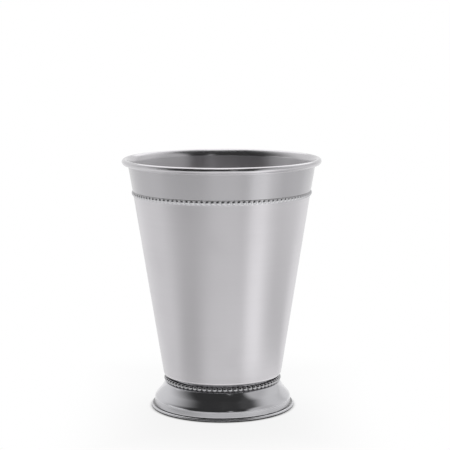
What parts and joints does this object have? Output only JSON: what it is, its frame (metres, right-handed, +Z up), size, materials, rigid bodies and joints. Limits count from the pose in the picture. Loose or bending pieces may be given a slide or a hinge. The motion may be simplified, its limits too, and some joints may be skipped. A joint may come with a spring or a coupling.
{
  "type": "julep cup",
  "caption": "Tapered metal julep cup with a rolled rim, a row of beads under a plain collar and another above a hollow spun pedestal foot.",
  "frame": {"origin": "centre of the ring that the foot rests on, at table height", "axes": "+Z up along the cup's axis, towards the mouth; the cup is round, so X and Y are any two level directions"},
  "size_m": [0.0888, 0.0888, 0.1124],
  "materials": {
    "satin_steel": "fine satin, brushed round the cup",
    "bright_steel": "polished"
  },
  "bodies": {
    "root": {"cup_body": "satin_steel", "collar_bead_ring": "bright_steel", "foot": "bright_steel", "foot_bead_ring": "bright_steel"}
  },
  "joints": []
}
